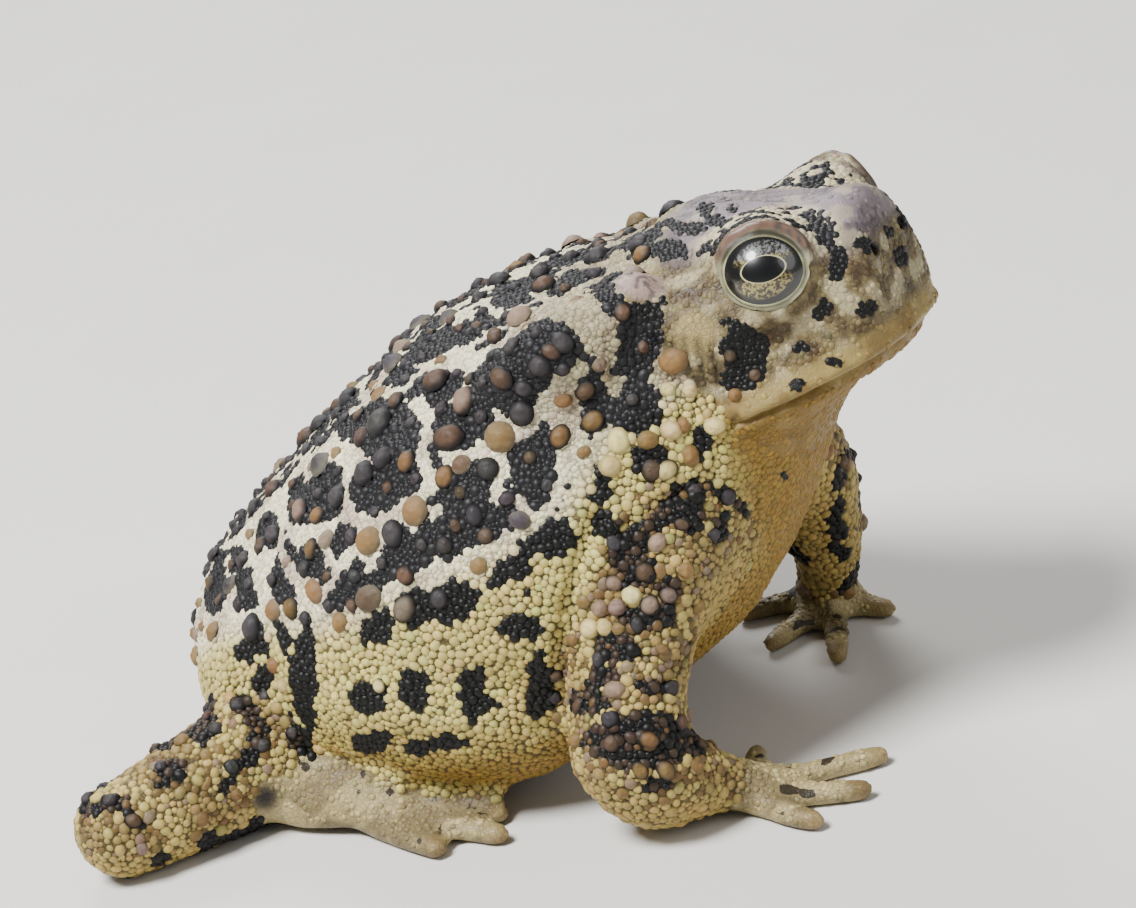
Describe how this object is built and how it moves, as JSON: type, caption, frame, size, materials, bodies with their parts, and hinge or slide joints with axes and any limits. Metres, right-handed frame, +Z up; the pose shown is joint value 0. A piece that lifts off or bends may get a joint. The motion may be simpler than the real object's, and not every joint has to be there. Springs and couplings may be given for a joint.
{
  "type": "wyoming toad",
  "caption": "Still life-size model of a plump, warty, black-blotched toad sitting on the floor with its head raised and its hands turned in.",
  "frame": {"origin": "on the floor, under the middle of the whole box", "axes": "+X the way the toad faces, +Y its left side, +Z up"},
  "size_m": [0.0554, 0.0472, 0.0362],
  "materials": {
    "body_skin": "granular skin, cream with charcoal blotches",
    "head_skin": "smooth grey-brown skin over the crest",
    "limb_skin": "granular skin, cream with charcoal blotches",
    "foot_skin": "pale tan skin with brown tips",
    "eye": "wet dark eye with gold flecks"
  },
  "bodies": {
    "root": {"eye_left": "eye", "eye_right": "eye", "foot_left": "foot_skin", "foot_right": "foot_skin", "forearm_left": "limb_skin", "forearm_right": "limb_skin", "hand_left": "foot_skin", "hand_right": "foot_skin", "head": "head_skin", "shank_left": "limb_skin", "shank_right": "limb_skin", "thigh_left": "limb_skin", "thigh_right": "limb_skin", "torso": "body_skin", "upper_arm_left": "limb_skin", "upper_arm_right": "limb_skin"}
  },
  "joints": []
}
